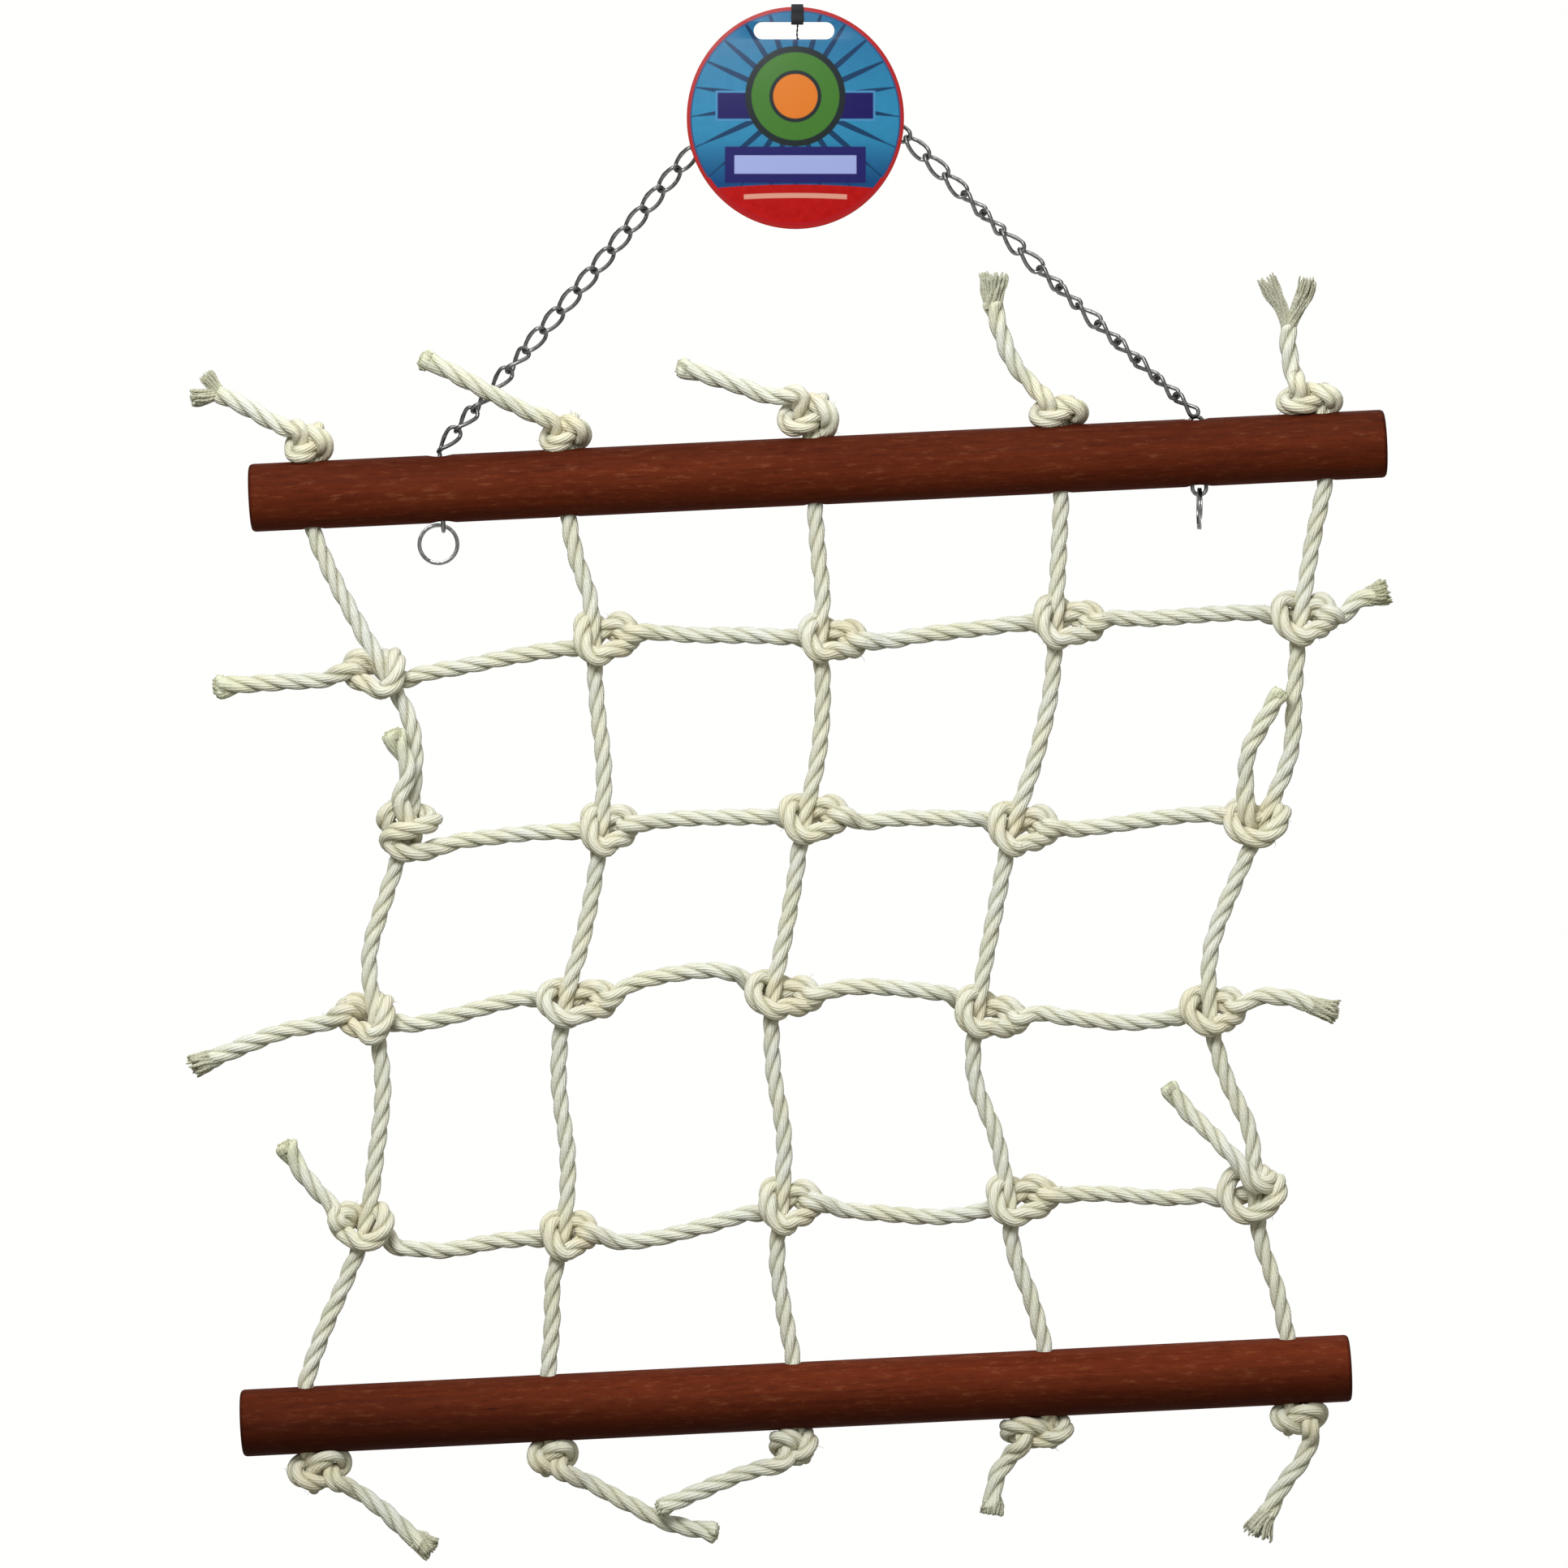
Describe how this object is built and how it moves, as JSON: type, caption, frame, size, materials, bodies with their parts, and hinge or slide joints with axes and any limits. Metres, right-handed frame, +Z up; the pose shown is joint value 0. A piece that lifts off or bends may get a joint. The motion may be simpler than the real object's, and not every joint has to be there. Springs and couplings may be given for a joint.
{
  "type": "knotted rope cargo net",
  "caption": "Hanging knotted rope climbing net between two round wooden bars, carried by a chain triangle with a slotted round card tag.",
  "frame": {"origin": "middle of the upper wire of the top chain link, where a hook carries the whole toy", "axes": "+X along the net's width towards its right end seen from the front, +Y towards the back, +Z up. The bars hang with their right ends 2.75 degrees up, as the two sides of the chain are not quite equal."},
  "size_m": [0.4425, 0.0258, 0.5725],
  "materials": {
    "wood": "red-brown stain soaked into fine straight grain, matt",
    "rope": "three-strand laid natural fibre, off-white, slightly hairy",
    "steel": "dark grey steel wire, dull shine",
    "card": "printed card with a gloss film",
    "tie": "black plastic-covered wire tie"
  },
  "bodies": {
    "hook_link": {"apex_link": "steel"},
    "chain_hanger": {"left_chain_run": "steel", "right_chain_run": "steel"},
    "tag": {"hang_tag": "card", "tag_tie": "tie"},
    "upper_bar": {"top_bar": "wood", "left_bore_link_1": "steel", "left_bore_link_2": "steel", "left_bore_link_3": "steel", "right_bore_link_1": "steel", "right_bore_link_2": "steel", "right_bore_link_3": "steel", "upright_1_top_knot": "rope", "upright_2_top_knot": "rope", "upright_3_top_knot": "rope", "upright_4_top_knot": "rope", "upright_5_top_knot": "rope"},
    "left_ring": {"left_split_ring": "steel"},
    "right_ring": {"right_split_ring": "steel"},
    "net_row_1": {"upright_1_span_1": "rope", "upright_2_span_1": "rope", "upright_3_span_1": "rope", "upright_4_span_1": "rope", "upright_5_span_1": "rope", "cross_rope_1": "rope"},
    "net_row_2": {"upright_1_span_2": "rope", "upright_2_span_2": "rope", "upright_3_span_2": "rope", "upright_4_span_2": "rope", "upright_5_span_2": "rope", "cross_rope_2": "rope"},
    "net_row_3": {"upright_1_span_3": "rope", "upright_2_span_3": "rope", "upright_3_span_3": "rope", "upright_4_span_3": "rope", "upright_5_span_3": "rope", "cross_rope_3": "rope"},
    "net_row_4": {"upright_1_span_4": "rope", "upright_2_span_4": "rope", "upright_3_span_4": "rope", "upright_4_span_4": "rope", "upright_5_span_4": "rope", "cross_rope_4": "rope"},
    "net_row_5": {"upright_1_span_5": "rope", "upright_2_span_5": "rope", "upright_3_span_5": "rope", "upright_4_span_5": "rope", "upright_5_span_5": "rope"},
    "lower_bar": {"bottom_bar": "wood", "upright_1_bottom_knot": "rope", "upright_2_bottom_knot": "rope", "upright_3_bottom_knot": "rope", "upright_4_bottom_knot": "rope", "upright_5_bottom_knot": "rope"}
  },
  "joints": [
    {"name": "hanger_swing", "type": "hinge", "parent": "hook_link", "child": "chain_hanger", "pos_m": [0, 0, 0], "axis": [1, 0, 0], "range_deg": [-40, 40]},
    {"name": "tag_swing", "type": "hinge", "parent": "chain_hanger", "child": "tag", "pos_m": [0, 0, 0], "axis": [1, 0, 0], "range_deg": [-70, 0]},
    {"name": "bar_roll", "type": "hinge", "parent": "chain_hanger", "child": "upper_bar", "pos_m": [0, 0, -0.14405], "axis": [0.9988, 0, 0.048], "range_deg": [-5, 30]},
    {"name": "left_ring_swing", "type": "hinge", "parent": "upper_bar", "child": "left_ring", "pos_m": [-0.12984, 0, -0.17844], "axis": [0.9988, 0, 0.048], "range_deg": [-60, 60]},
    {"name": "right_ring_swing", "type": "hinge", "parent": "upper_bar", "child": "right_ring", "pos_m": [0.14966, 0, -0.16501], "axis": [0, 1, 0], "range_deg": [-60, 60]},
    {"name": "fold_under_top_bar", "type": "hinge", "parent": "upper_bar", "child": "net_row_1", "pos_m": [0, 0, -0.1736], "axis": [0.9988, 0, 0.048], "range_deg": [-30, 30]},
    {"name": "fold_under_row_1", "type": "hinge", "parent": "net_row_1", "child": "net_row_2", "pos_m": [0, 0, -0.2379], "axis": [0.9988, 0, 0.048], "range_deg": [-30, 30]},
    {"name": "fold_under_row_2", "type": "hinge", "parent": "net_row_2", "child": "net_row_3", "pos_m": [0, 0, -0.3084], "axis": [0.9988, 0, 0.048], "range_deg": [-30, 30]},
    {"name": "fold_under_row_3", "type": "hinge", "parent": "net_row_3", "child": "net_row_4", "pos_m": [0, 0, -0.3768], "axis": [0.9988, 0, 0.048], "range_deg": [-30, 30]},
    {"name": "fold_under_row_4", "type": "hinge", "parent": "net_row_4", "child": "net_row_5", "pos_m": [0, 0, -0.449], "axis": [0.9988, 0, 0.048], "range_deg": [-30, 30]},
    {"name": "fold_over_bottom_bar", "type": "hinge", "parent": "net_row_5", "child": "lower_bar", "pos_m": [0, 0, -0.484], "axis": [0.9988, 0, 0.048], "range_deg": [-30, 30]}
  ]
}
